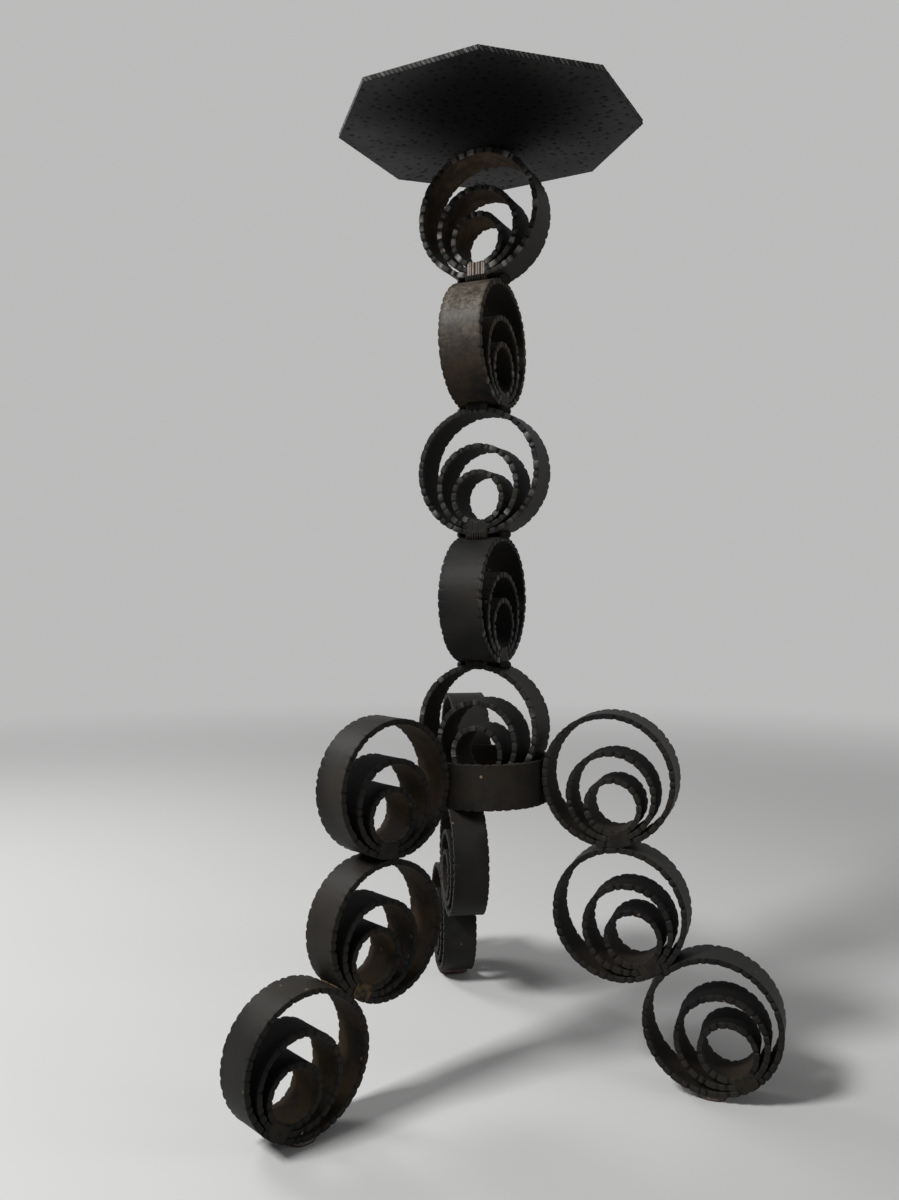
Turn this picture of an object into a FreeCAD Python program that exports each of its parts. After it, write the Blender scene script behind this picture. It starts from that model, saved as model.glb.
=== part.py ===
"""Floor candlestick: an octagonal plate on a column of ring sets, seated in a hub ring.

Three legs of ring sets carry the hub ring. A ring set is three rings of flat bar, one inside another.
They touch at one point and are welded together there.
Lengths are in millimetres and angles in degrees. +Z is up and the right leg points along +X.
The origin is on the floor, under the middle of the stand's box.
"""
import FreeCAD
import Part
import math
import os

from FreeCAD import Vector

# Flat bar that the rings are bent from. The hub ring and the crosswise column sets are of the wider bar.
BAR_WIDTH = 40.0
WIDE_BAR_WIDTH = 45.0
BAR_THICKNESS = 5.0

# Outside diameters of the three rings in a set.
OUTER_DIAMETER = 130.0
MIDDLE_DIAMETER = 88.0
INNER_DIAMETER = 56.5

# Column, counted from the top. Each set stands square to the one below it, give or take a small turn.
COLUMN_TURN_ANGLES = (-5.0, -4.0, -3.0, -4.0, -5.0)
COLUMN_STEP_ANGLE = 90.0
COLUMN_SETS = len(COLUMN_TURN_ANGLES)

# How far the hub ring's top stands above the middle of the highest leg rings.
HUB_RISE = 15.5

# How far the lowest column ring drops into the hub ring, whose top edge it rests on.
SEAT_DEPTH = 36.0

# Legs: where each one points, and how far from straight down each ring lies from the ring above it.
LEG_AZIMUTHS = {"right": 0.0, "back": 118.0, "left": 243.0}
LEG_DROP_ANGLES = (4.9, 42.5)

# How far from straight down the rings of each leg set touch, counted outwards.
LEG_NEST_ANGLES = (11.0, 32.0, 34.0)

# Octagonal plate. Its middle lies this far from the column's axis.
PLATE_ACROSS_FLATS = 275.0
PLATE_THICKNESS = 5.0
PLATE_TURN_ANGLE = 14.5
PLATE_SHIFT_X = 21.0
PLATE_SHIFT_Y = -50.0
PLATE_SIDES = 8

# Pads under the lowest rings. The thickness is taken where the ring comes lowest.
PAD_LENGTH = 28.0
PAD_WIDTH = 36.0
PAD_THICKNESS = 5.0
PAD_CORNER = 4.0

# Welds. The gap is what they bridge between two pieces that touch.
WELD_GAP = 0.2
WELD_SETBACK = 3.0
NEST_WELD_LENGTH = 20.0
NEST_WELD_HEIGHT = 1.6
NEST_WELD_INSET = 0.3
NEST_WELD_EDGE = 0.7
CROSSING_WELD_DIAMETER = 26.0
GROOVE_WELD_WIDTH = 16.0
PLATE_WELD_WIDTH = 28.0
SEAT_WELD_SIZE = 7.0

ORIGIN = Vector(0, 0, 0)
UP = Vector(0, 0, 1)
ALONG_Y = Vector(0, 1, 0)

RING_DIAMETERS = {"outer": OUTER_DIAMETER, "middle": MIDDLE_DIAMETER, "inner": INNER_DIAMETER}
RING_RADIUS = OUTER_DIAMETER / 2
HALF_WIDTH = BAR_WIDTH / 2

# The lowest column ring rests by its four lower corners on the hub's inner edge, which sets the hub's bore.
CORNER_DROP = RING_RADIUS - SEAT_DEPTH
CORNER_X = math.sqrt(RING_RADIUS ** 2 - CORNER_DROP ** 2)
HUB_BORE_RADIUS = math.hypot(CORNER_X, HALF_WIDTH) + WELD_GAP
HUB_RADIUS = HUB_BORE_RADIUS + BAR_THICKNESS

# Heights and reaches follow from the legs upwards. Rings in a row stand one diameter and a weld gap apart.
RING_PITCH = OUTER_DIAMETER + WELD_GAP
LEG_FALL = sum(RING_PITCH * math.cos(math.radians(drop)) for drop in LEG_DROP_ANGLES)
LEG_TOP = PAD_THICKNESS + RING_RADIUS + LEG_FALL
HUB_TOP = LEG_TOP + HUB_RISE
HUB_BOTTOM = HUB_TOP - WIDE_BAR_WIDTH
LEG_REACH = HUB_RADIUS + WELD_GAP + RING_RADIUS
LOWEST_SET_HEIGHT = HUB_TOP + CORNER_DROP + WELD_GAP
TOP_SET_HEIGHT = LOWEST_SET_HEIGHT + (COLUMN_SETS - 1) * RING_PITCH
PLATE_BOTTOM = TOP_SET_HEIGHT + RING_RADIUS + WELD_GAP

nodes = {}


def add(name, *solids):
    """Adds solids to the node of this name."""
    nodes.setdefault(name, []).extend(solids)


def drum(diameter, length):
    """A solid cylinder about the Y axis, centred on the origin."""
    return Part.makeCylinder(diameter / 2, length, Vector(0, -length / 2, 0), ALONG_Y)


def bar_ring(diameter, width):
    """Flat bar bent into a ring about the Y axis, centred on the origin."""
    return drum(diameter, width).cut(drum(diameter - 2 * BAR_THICKNESS, width))


def block(length, width, height):
    """A box centred on the origin, with these sizes along X, Y and Z."""
    return Part.makeBox(length, width, height, Vector(-length / 2, -width / 2, -height / 2))


def placed(shape, turn, place, tip=0.0):
    """A copy of the shape, tipped from straight down towards +X, turned about Z and moved to its place."""
    moved = shape.copy()
    moved.rotate(ORIGIN, ALONG_Y, -tip)
    moved.rotate(ORIGIN, UP, turn)
    moved.translate(place)
    return moved


def heading(turn):
    """The level direction at this angle from +X."""
    return Vector(math.cos(math.radians(turn)), math.sin(math.radians(turn)), 0)


def downward(turn, tip):
    """The direction that leaves straight down by this angle, towards the heading."""
    return heading(turn) * math.sin(math.radians(tip)) - UP * math.cos(math.radians(tip))


def nest_weld(width):
    """Weld across the edges of the three rings where they touch, on the near and the far side of a set."""
    depth = 3 * BAR_THICKNESS + 2 * WELD_GAP - 2 * NEST_WELD_INSET
    bead = block(NEST_WELD_LENGTH, NEST_WELD_HEIGHT, depth)
    bead = bead.makeFillet(NEST_WELD_EDGE, [e for e in bead.Edges if e.BoundBox.YMax > 0])
    bead.translate(Vector(0, (width + NEST_WELD_HEIGHT) / 2, NEST_WELD_INSET + depth / 2 - RING_RADIUS))
    far = bead.copy()
    far.rotate(ORIGIN, UP, 180)
    return bead, far


def add_set(name, weld_node, centre, turn, nest, width):
    """Adds three nested rings in the upright plane of the heading, touching at the nesting direction."""
    inset = 0.0
    for size, diameter in RING_DIAMETERS.items():
        offset = RING_RADIUS - inset - diameter / 2
        place = centre + downward(turn, nest) * offset
        add(f"{name}_{size}_ring", placed(bar_ring(diameter, width), turn, place))
        inset += BAR_THICKNESS + WELD_GAP
    add(weld_node, *(placed(bead, turn, centre, nest) for bead in nest_weld(width)))


def crossing_weld(first, second, place, direction):
    """Weld that fills the narrow space round the point where two crossing rings touch."""
    length = CROSSING_WELD_DIAMETER
    blank = Part.makeCylinder(length / 2, length, place - direction * (length / 2), direction)
    return blank.cut(first).cut(second).Solids


def groove_weld(first, second, place, turn, tip):
    """Weld along the line where two rings of a leg touch."""
    blank = block(GROOVE_WELD_WIDTH, BAR_WIDTH - 2 * WELD_SETBACK, GROOVE_WELD_WIDTH)
    return placed(blank, turn, place, tip).cut(first).cut(second).Solids


def column_turn(number):
    """The heading of the upright plane that this column set lies in."""
    return COLUMN_TURN_ANGLES[number - 1] + COLUMN_STEP_ANGLE * (COLUMN_SETS - number)


# Column
drums = {}
for number in range(1, COLUMN_SETS + 1):
    height = TOP_SET_HEIGHT - (number - 1) * RING_PITCH
    centre = UP * height
    turn = column_turn(number)
    width = BAR_WIDTH if (COLUMN_SETS - number) % 2 == 0 else WIDE_BAR_WIDTH
    add_set(f"column_{number}", "column_nest_welds", centre, turn, 0.0, width)
    drums[number] = placed(drum(OUTER_DIAMETER, width), turn, centre)
for number in range(1, COLUMN_SETS):
    place = UP * (TOP_SET_HEIGHT - (number - 0.5) * RING_PITCH)
    add("column_crossing_welds", *crossing_weld(drums[number], drums[number + 1], place, UP))

# Hub ring, and the welds at the four corners that rest on it
hub_drum = Part.makeCylinder(HUB_RADIUS, WIDE_BAR_WIDTH, UP * HUB_BOTTOM)
hub_bore = Part.makeCylinder(HUB_BORE_RADIUS, WIDE_BAR_WIDTH, UP * HUB_BOTTOM)
add("hub_ring", hub_drum.cut(hub_bore))
rim_radius = HUB_BORE_RADIUS + 2 * SEAT_WELD_SIZE
hub_rim = Part.makeCylinder(rim_radius, WIDE_BAR_WIDTH, UP * HUB_BOTTOM).cut(hub_bore)
seat_turn = column_turn(COLUMN_SETS)
seat_along = heading(seat_turn)
seat_across = UP.cross(seat_along)
for side in (-1, 1):
    for end in (-1, 1):
        corner = seat_along * (side * CORNER_X) + seat_across * (end * HALF_WIDTH) + UP * HUB_TOP
        blank = placed(block(SEAT_WELD_SIZE, SEAT_WELD_SIZE, SEAT_WELD_SIZE), seat_turn, corner)
        add("hub_seat_welds", *blank.cut(hub_rim).cut(drums[COLUMN_SETS]).Solids)

# Legs
for leg, azimuth in LEG_AZIMUTHS.items():
    centre = heading(azimuth) * LEG_REACH + UP * LEG_TOP
    contact = heading(azimuth) * (HUB_RADIUS + WELD_GAP / 2) + UP * LEG_TOP
    above = None
    for number, nest in enumerate(LEG_NEST_ANGLES, start=1):
        add_set(f"{leg}_leg_{number}", f"{leg}_leg_welds", centre, azimuth, nest, BAR_WIDTH)
        here = placed(drum(OUTER_DIAMETER, BAR_WIDTH), azimuth, centre)
        if above is None:
            add("hub_leg_welds", *crossing_weld(hub_drum, here, contact, heading(azimuth)))
        else:
            place = centre - downward(azimuth, drop) * (RING_PITCH / 2)
            add(f"{leg}_leg_welds", *groove_weld(above, here, place, azimuth, drop))
        above = here
        if number <= len(LEG_DROP_ANGLES):
            drop = LEG_DROP_ANGLES[number - 1]
            centre = centre + downward(azimuth, drop) * RING_PITCH
    foot = Part.makeBox(PAD_LENGTH, PAD_WIDTH, RING_RADIUS, Vector(-PAD_LENGTH / 2, -PAD_WIDTH / 2, 0))
    foot = foot.makeFillet(PAD_CORNER, [e for e in foot.Edges if e.BoundBox.ZLength > RING_RADIUS / 2])
    foot = placed(foot, azimuth, Vector(centre.x, centre.y, 0))
    above_axis = block(OUTER_DIAMETER, 2 * BAR_WIDTH, RING_RADIUS)
    above_axis = placed(above_axis, azimuth, centre + UP * (RING_RADIUS / 2))
    ring_space = placed(drum(OUTER_DIAMETER, 2 * BAR_WIDTH), azimuth, centre)
    add(f"{leg}_foot_pad", *foot.cut(ring_space).cut(above_axis).Solids)

# Plate, and the weld along the line where it rests on the top ring
corner_radius = PLATE_ACROSS_FLATS / 2 / math.cos(math.pi / PLATE_SIDES)
plate_centre = Vector(PLATE_SHIFT_X, PLATE_SHIFT_Y, PLATE_BOTTOM)
corner_turns = [PLATE_TURN_ANGLE + 360 / PLATE_SIDES * k for k in range(PLATE_SIDES)]
corners = [plate_centre + heading(turn) * corner_radius for turn in corner_turns]
outline = Part.Face(Part.makePolygon(corners + corners[:1]))
add("candle_plate", outline.extrude(UP * PLATE_THICKNESS))
top_turn = column_turn(1)
weld_blank = block(PLATE_WELD_WIDTH, BAR_WIDTH - 2 * WELD_SETBACK, PLATE_WELD_WIDTH)
weld_blank = placed(weld_blank, top_turn, UP * (PLATE_BOTTOM - PLATE_WELD_WIDTH / 2))
add("plate_weld", *weld_blank.cut(drums[1]).Solids)

# The stand's box is centred over the origin.
box = Part.makeCompound([solid for solids in nodes.values() for solid in solids]).optimalBoundingBox()
shift = Vector(-box.Center.x, -box.Center.y, 0)
os.makedirs("parts", exist_ok=True)
for name, solids in nodes.items():
    shape = solids[0] if len(solids) == 1 else Part.makeCompound(solids)
    shape.translate(shift)
    shape.exportStep(f"parts/{name}.step")
print(f"nodes {len(nodes)}, column axis at {shift.x:.3f}, {shift.y:.3f}, hub diameter {2 * HUB_RADIUS:.2f}")
print(f"hub top {HUB_TOP:.2f}, top set {TOP_SET_HEIGHT:.2f}, plate top {PLATE_BOTTOM + PLATE_THICKNESS:.2f}")
print(f"box {box.XLength:.1f} x {box.YLength:.1f} x {box.ZLength:.1f}")
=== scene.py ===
"""Looks of the floor candlestick: rings of notched flat bar, a dented plate, rippled welds and worn iron.

Shapes are worked out in millimetres in the part's own frame and become metres when they are put into a mesh.
"""
import collections
import math
import zlib

import bmesh
import bpy
import numpy as np
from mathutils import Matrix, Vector


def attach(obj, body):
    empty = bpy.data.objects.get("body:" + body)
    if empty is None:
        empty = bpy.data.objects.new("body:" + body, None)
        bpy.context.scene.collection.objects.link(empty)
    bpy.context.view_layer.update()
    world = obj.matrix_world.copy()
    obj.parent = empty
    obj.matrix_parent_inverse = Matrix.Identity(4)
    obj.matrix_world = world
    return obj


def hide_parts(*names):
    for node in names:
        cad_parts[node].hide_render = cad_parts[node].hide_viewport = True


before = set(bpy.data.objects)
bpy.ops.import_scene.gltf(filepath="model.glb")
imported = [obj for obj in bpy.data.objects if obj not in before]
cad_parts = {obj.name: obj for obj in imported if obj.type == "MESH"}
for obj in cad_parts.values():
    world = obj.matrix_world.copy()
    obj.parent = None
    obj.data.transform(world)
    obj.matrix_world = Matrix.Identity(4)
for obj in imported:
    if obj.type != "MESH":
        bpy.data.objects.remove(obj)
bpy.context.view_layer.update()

MM = 0.001
TAU = 2 * math.pi
UP = np.array([0.0, 0.0, 1.0])

# Sizes of the stand, the same as those of its solids
BAR_WIDTH = 40.0
WIDE_BAR_WIDTH = 45.0
BAR_THICKNESS = 5.0
OUTER_DIAMETER = 130.0
MIDDLE_DIAMETER = 88.0
INNER_DIAMETER = 56.5
COLUMN_TURN_ANGLES = (-5.0, -4.0, -3.0, -4.0, -5.0)
COLUMN_STEP_ANGLE = 90.0
COLUMN_SETS = len(COLUMN_TURN_ANGLES)
HUB_RISE = 15.5
SEAT_DEPTH = 36.0
LEG_AZIMUTHS = {"right": 0.0, "back": 118.0, "left": 243.0}
LEG_DROP_ANGLES = (4.9, 42.5)
LEG_NEST_ANGLES = (11.0, 32.0, 34.0)
PLATE_ACROSS_FLATS = 275.0
PLATE_THICKNESS = 5.0
PLATE_TURN_ANGLE = 14.5
PLATE_SHIFT = (21.0, -50.0)
PLATE_SIDES = 8
PAD_LENGTH = 28.0
PAD_WIDTH = 36.0
PAD_THICKNESS = 5.0
WELD_GAP = 0.2
COLUMN_AXIS = np.array([-69.688, 1.038, 0.0])

# Sizes and heights that follow from them
RING_DIAMETERS = {"outer": OUTER_DIAMETER, "middle": MIDDLE_DIAMETER, "inner": INNER_DIAMETER}
RING_RADIUS = OUTER_DIAMETER / 2
HALF_WIDTH = BAR_WIDTH / 2
HALF_ACROSS = PLATE_ACROSS_FLATS / 2
CORNER_DROP = RING_RADIUS - SEAT_DEPTH
CORNER_X = math.sqrt(RING_RADIUS ** 2 - CORNER_DROP ** 2)
HUB_BORE_RADIUS = math.hypot(CORNER_X, HALF_WIDTH) + WELD_GAP
HUB_RADIUS = HUB_BORE_RADIUS + BAR_THICKNESS
RING_PITCH = OUTER_DIAMETER + WELD_GAP
LEG_FALL = sum(RING_PITCH * math.cos(math.radians(drop)) for drop in LEG_DROP_ANGLES)
LEG_TOP = PAD_THICKNESS + RING_RADIUS + LEG_FALL
HUB_TOP = LEG_TOP + HUB_RISE
LEG_REACH = HUB_RADIUS + WELD_GAP + RING_RADIUS
LOWEST_SET_HEIGHT = HUB_TOP + CORNER_DROP + WELD_GAP
TOP_SET_HEIGHT = LOWEST_SET_HEIGHT + (COLUMN_SETS - 1) * RING_PITCH
PLATE_BOTTOM = TOP_SET_HEIGHT + RING_RADIUS + WELD_GAP

# Section of a bar: its rounded corners, and how far from an edge the grid lines on its faces lie
EDGE_RADIUS = 0.8
CORNER_ANGLES = (30.0, 60.0, 90.0)
FACE_LINES = (EDGE_RADIUS, 2.1, 3.4, 5.2, 8.5, 13.5)

# Notches hammered into the edges of the bars. Scatter and breadth are shares of the pitch
NOTCH_PITCH = 9.9
NOTCH_STEPS = 10
NOTCH_DEPTH = 1.4
NOTCH_PINCH = 1.25
NOTCH_SCATTER = 0.21
NOTCH_STRENGTHS = (0.35, 1.25)
NOTCH_BREADTHS = (0.08, 0.19)

# Crests between the notches: how far they stand out and up, and how bright they are worn
CREST_LIP = 0.4
CREST_RISE = 0.3
CREST_SHINE = 1.2
CREST_SHINE_RANGE = (0.12, 1.0)
CREST_CONTRAST = 1.6

# How far from an edge its lip, its worn metal, the painted shade in its notches and its clean corner reach
LIP_REACH = 2.4
WEAR_REACH = 1.3
NOTCH_SHADE_REACH = 1.6
CORNER_REACH = 4.0

# How bright the edges are worn, by the first word or two of a set's name
EDGE_POLISH = {
    "column_1": 1.0,
    "column_2": 0.5,
    "column_3": 0.5,
    "column_4": 0.42,
    "column_5": 0.5,
    "right_leg": 0.10,
    "back_leg": 0.10,
    "left_leg": 0.08,
}
HUB_POLISH = 0.2
# Painted highlight on the crests: they are brightest on the side of a ring at this angle, and this share of
# their brightness fades round the ring
GLINT_SIDE_ANGLE = 225.0
GLINT_SIDE_SHARE = 0.28

# How brown the inner and the outer faces are, by the same names
RUST = {
    "column_1": (2.2, 0.08),
    "column_2": (0.15, 0.75),
    "column_3": (0.15, 0.03),
    "column_4": (0.10, 0.03),
    "column_5": (0.25, 0.05),
    "right_leg": (0.55, 0.08),
    "back_leg": (0.40, 0.08),
    "left_leg": (1.25, 0.08),
}
HUB_RUST = (0.3, 0.32)

# How brown the welds of a set are, where they stand out, and how brown the others are
WELD_RUST = {"left_leg_2": 1.8, "column_1": 0.35}
PLAIN_WELD_RUST = 0.15
BEAD_RUST = 0.3

# Painted sheen on the outside of a set: how pale it makes the outer face, where it is, and the angle round
# the ring where it is palest
PAINTED_SHEEN = {"column_2": 0.95, "column_4": 0.60}
SHEEN_SIDE_ANGLE = 30.0
SHEEN_FOCUS = 5

# Painted shade between nested rings: how dark the outer faces of the middle and the inner rings are, by the
# first word of a set's name
NESTED_SHADE = {"column": 0.45, "right": 0.8, "back": 0.8, "left": 1.0}

# Beads of weld: grid steps along them and round them, and the length and strength of their ripples
BEAD_STEPS = 49
BEAD_SIDES = 20
RIPPLE_LENGTH = 2.6
RIPPLE_SHARE = 0.22
RIPPLE_ROUGHNESS = 0.05
ROUND_BEAD_STEPS = 96
ROUND_RIPPLE_LENGTH = 2.8

# Length, width and height of each kind of straight bead, and radius, width and height of the round one
CROSSING_BEAD = (24.0, 9.0, 4.0)
GROOVE_BEAD = (35.0, 2.4, 1.8)
SEAT_BEAD = (8.0, 5.0, 2.6)
PLATE_BEAD = (35.0, 1.8, 1.6)
HUB_LEG_BEAD = (12.4, 2.2, 1.4)

# Where beads lie: how deep in an edge or a corner, and how far from the line where two pieces touch
CROSSING_BEAD_DEPTH = 0.5
SEAT_BEAD_DEPTH = 1.2
GROOVE_BEAD_OFFSET = 7.6
PLATE_BEAD_OFFSET = 13.4
PLATE_BEAD_DROP = 0.8

# Saddle of weld between two crossed rings
SADDLE_STEPS = 61
SADDLE_SIDES = 24
SADDLE_HALF_WIDTH = 6.5
SADDLE_MARGIN = 1.5
SADDLE_OVERLAP = 0.7
SADDLE_RIPPLES = 8
SADDLE_RIPPLE_SHARE = 0.07
SADDLE_ROUGHNESS = 0.03

# Patch of weld across nested rings. Its start and end are measured inwards from the outer ring's outside
PATCH_STEPS = 73
PATCH_SIDES = 28
PATCH_LENGTH = 20.5
PATCH_START = 0.2
PATCH_END = 15.2
PATCH_SINK = 0.4
PATCH_BASE = 0.5
PATCH_RIDGES = 7
PATCH_RAGGED = (-1.3, 0.9)
PATCH_RAGGED_STEPS = 10
RIDGE_SHIFT = 0.18
RIDGE_BREADTH = 0.38
RIDGE_STRENGTHS = (0.6, 1.0)
RIDGE_ROUGHNESS = 0.1

# Ridges along the plate's rim. The slant is in ridges per millimetre of height
RIM_RIDGES_PER_SIDE = 25
RIM_RIDGE_STEPS = 3
RIM_RIDGE_HEIGHT = 1.1
RIM_RIDGE_SLANT = 0.18
RIM_RIDGE_STRENGTHS = (0.4, 1.0)
RIM_REACH = 1.5

# Grid of the plate: loops on each face, where they end, the lines near the rim and those on the rim
FACE_LOOPS = 72
FACE_MARGIN = 4.0
RIM_LINES = np.array([2.6, 1.5, 0.7])
RIM_BEVEL = 0.25 * np.array([1.0, 0.0, 0.0, 0.0, 1.0])
RIM_HEIGHT_SHARES = np.array([0.05, 0.2, 0.5, 0.8, 0.95])

# Dents in the plate, one to a cell. Place and size are shares of the cell
DENT_CELL = 9.6
DENT_CELLS = 64
DENT_PLACES = (0.12, 0.88)
DENT_SIZES = (0.18, 0.30)
DENT_DEPTH = 0.95
DENT_GRID_START = 400.0
DENT_TOP_SHARE = 0.7
# Depth at which a dent's painted shade is full
DENT_DARK_DEPTH = 0.5
CALM_RIM = 3.0

# Painted shade under the plate: a dark spot, placed from the plate's middle, and its radius
SHADE_SPOT = (12.0, -45.0)
SHADE_RADIUS = 105.0

# Outline and profile of a foot pad: shares of its half size and of its thickness, from its base to its top
PAD_STEPS = 72
PAD_SQUARENESS = 0.7
PAD_SPREAD = np.array([0, 0.5, 0.9, 0.96, 0.99, 1.0, 0.99, 0.96, 0.9, 0.5, 0])
PAD_HEIGHT_SHARES = np.array([0, 0, 0, 0.03, 0.2, 0.5, 0.8, 0.97, 1, 1, 1])
PAD_CLEARANCE = 0.1

# Bright nick on the hub, in metres: its place, and the distances from it where it fades
HUB_NICK = (-0.0516, -0.0631, 0.2999)
HUB_NICK_FADE = (0.0008, 0.0017)

# Floor and where it turns into the backdrop, in metres
FLOOR_SIDES = 96
FLOOR_RADIUS = 14.0
FLOOR_FADE = (0.9, 3.4)

# Lamps, in metres and watts: place, aim, side of the square and power
LAMPS = {
    "window_front": ((-1.25, -1.65, 2.35), (-0.05, 0, 0.55), 0.62, 88),
    "window_side": ((-2.1, 0.5, 1.7), (-0.05, 0, 0.45), 0.8, 24),
    "fill_right": ((2.6, 0.1, 1.1), (-0.05, 0, 0.5), 0.8, 10),
}

# Camera: lens and sensor in millimetres, place in metres and the way it looks
CAMERA_LENS = 30.03
CAMERA_SENSOR = 36.0
CAMERA_PLACE = (0.2534, -0.9798, 0.4810)
CAMERA_VIEW = (-0.3454, 0.9384, -0.0104)


def heading(turn):
    """The level direction at this angle from +X."""
    return np.array([math.cos(math.radians(turn)), math.sin(math.radians(turn)), 0.0])


def downward(turn, tip):
    """The direction that leaves straight down by this angle, towards the heading."""
    return heading(turn) * math.sin(math.radians(tip)) - UP * math.cos(math.radians(tip))


def dice(name):
    """Random numbers that are the same for the same name every time."""
    return np.random.default_rng(zlib.crc32(name.encode()))


def squared_cosine(angle, power):
    """A cosine that stays longer near 1 and -1: its size to a power below 1, with its sign."""
    return np.sign(np.cos(angle)) * np.abs(np.cos(angle)) ** power


def skin(name, sheets):
    """One mesh object from grid sheets. A sheet is its points, wrap rows, wrap columns and values by name.

    Each grid cell is one face. A wrapped direction joins its last line to its first, and points that meet
    are merged.
    """
    points, faces, values = [], [], {}
    start = 0
    for grid, wrap_rows, wrap_columns, fields in sheets:
        rows, columns = grid.shape[:2]
        index = start + np.arange(rows * columns).reshape(rows, columns)
        if wrap_rows:
            index = np.vstack([index, index[:1]])
        if wrap_columns:
            index = np.hstack([index, index[:, :1]])
        quads = np.stack([index[:-1, :-1], index[1:, :-1], index[1:, 1:], index[:-1, 1:]], -1)
        points.append(grid.reshape(-1, 3))
        faces.append(quads.reshape(-1, 4))
        for key, field in fields.items():
            values.setdefault(key, []).append(np.broadcast_to(field, (rows, columns)).ravel())
        start += rows * columns
    points = np.vstack(points) * MM
    faces = np.vstack(faces)
    mesh = bpy.data.meshes.new(name)
    mesh.vertices.add(len(points))
    mesh.vertices.foreach_set("co", points.astype(np.float32).ravel())
    mesh.loops.add(faces.size)
    mesh.loops.foreach_set("vertex_index", faces.astype(np.int32).ravel())
    mesh.polygons.add(len(faces))
    mesh.polygons.foreach_set("loop_start", np.arange(0, faces.size, 4, dtype=np.int32))
    for key, parts in values.items():
        layer = mesh.attributes.new(key, "FLOAT", "POINT")
        layer.data.foreach_set("value", np.concatenate(parts).astype(np.float32))
    mesh.update(calc_edges=True)
    shell = bmesh.new()
    shell.from_mesh(mesh)
    bmesh.ops.remove_doubles(shell, verts=shell.verts, dist=1e-6)
    bmesh.ops.recalc_face_normals(shell, faces=shell.faces)
    shell.to_mesh(mesh)
    shell.free()
    mesh.shade_smooth()
    piece = bpy.data.objects.new(name, mesh)
    bpy.context.scene.collection.objects.link(piece)
    return piece


def settle(piece, finish, slot, *nodes):
    """Gives a piece its finish, lets it ride on the stand and stand for these nodes. The slot is not used."""
    piece.data.materials.append(finish)
    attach(piece, "root")
    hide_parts(*nodes)
    return piece


# Rings of notched flat bar

def bar_section(width, thickness):
    """Points round a flat bar's section: outer face, one edge, inner face, other edge, with rounded corners.

    Gives how far each point lies along the ring's axis and from the middle of the thickness.
    """
    half = width / 2
    wall = thickness / 2
    inset = np.array(FACE_LINES)
    face = np.concatenate([inset - half, [0.0], half - inset[::-1]])
    bend = np.radians(CORNER_ANGLES)
    along = half - EDGE_RADIUS + EDGE_RADIUS * np.sin(bend)
    out = wall - EDGE_RADIUS + EDGE_RADIUS * np.cos(bend)
    edge_axial = np.concatenate([along, [half], along[::-1]])
    edge_radial = np.concatenate([out, [0.0], -out[::-1]])
    outside = np.full(face.size, wall)
    axial = np.concatenate([face, edge_axial, face[::-1], -edge_axial])
    radial = np.concatenate([outside, edge_radial, -outside, -edge_radial])
    return axial, radial


def notch_row(angle, count, random):
    """One hammered edge: how deep each angle lies in a notch, how high its crest stands, how bright it is.

    Notches sit one to a step with some scatter. A notch is a flat-topped bell curve across its step, with its
    own depth and width. A crest lies between two notches, is tilted and lifted a little, and is worn brighter
    towards one of its ends.
    """
    place = angle / TAU * count
    step = np.floor(place).astype(int) % count
    scatter = random.uniform(-NOTCH_SCATTER, NOTCH_SCATTER, count)
    depth = random.uniform(*NOTCH_STRENGTHS, count)
    breadth = random.uniform(*NOTCH_BREADTHS, count)
    across = place - np.floor(place) - 0.5 - scatter[step]
    notch = depth[step] * np.exp(-np.abs(across / breadth[step]) ** 3)
    crest = np.round(place).astype(int) % count
    lift = random.uniform(-1.0, 1.0, count)
    tilt = random.uniform(-1.0, 1.0, count)
    bright = CREST_SHINE * random.uniform(*CREST_SHINE_RANGE, count) ** CREST_CONTRAST
    clear = np.clip(1 - notch, 0, 1)
    lean = tilt[crest] * (place - np.round(place))
    height = clear * (0.5 * lift[crest] + lean)
    shine = bright[crest] * np.clip(1 + 2 * lean, 0, 2) * clear ** 1.5
    return notch, height, shine


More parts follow.
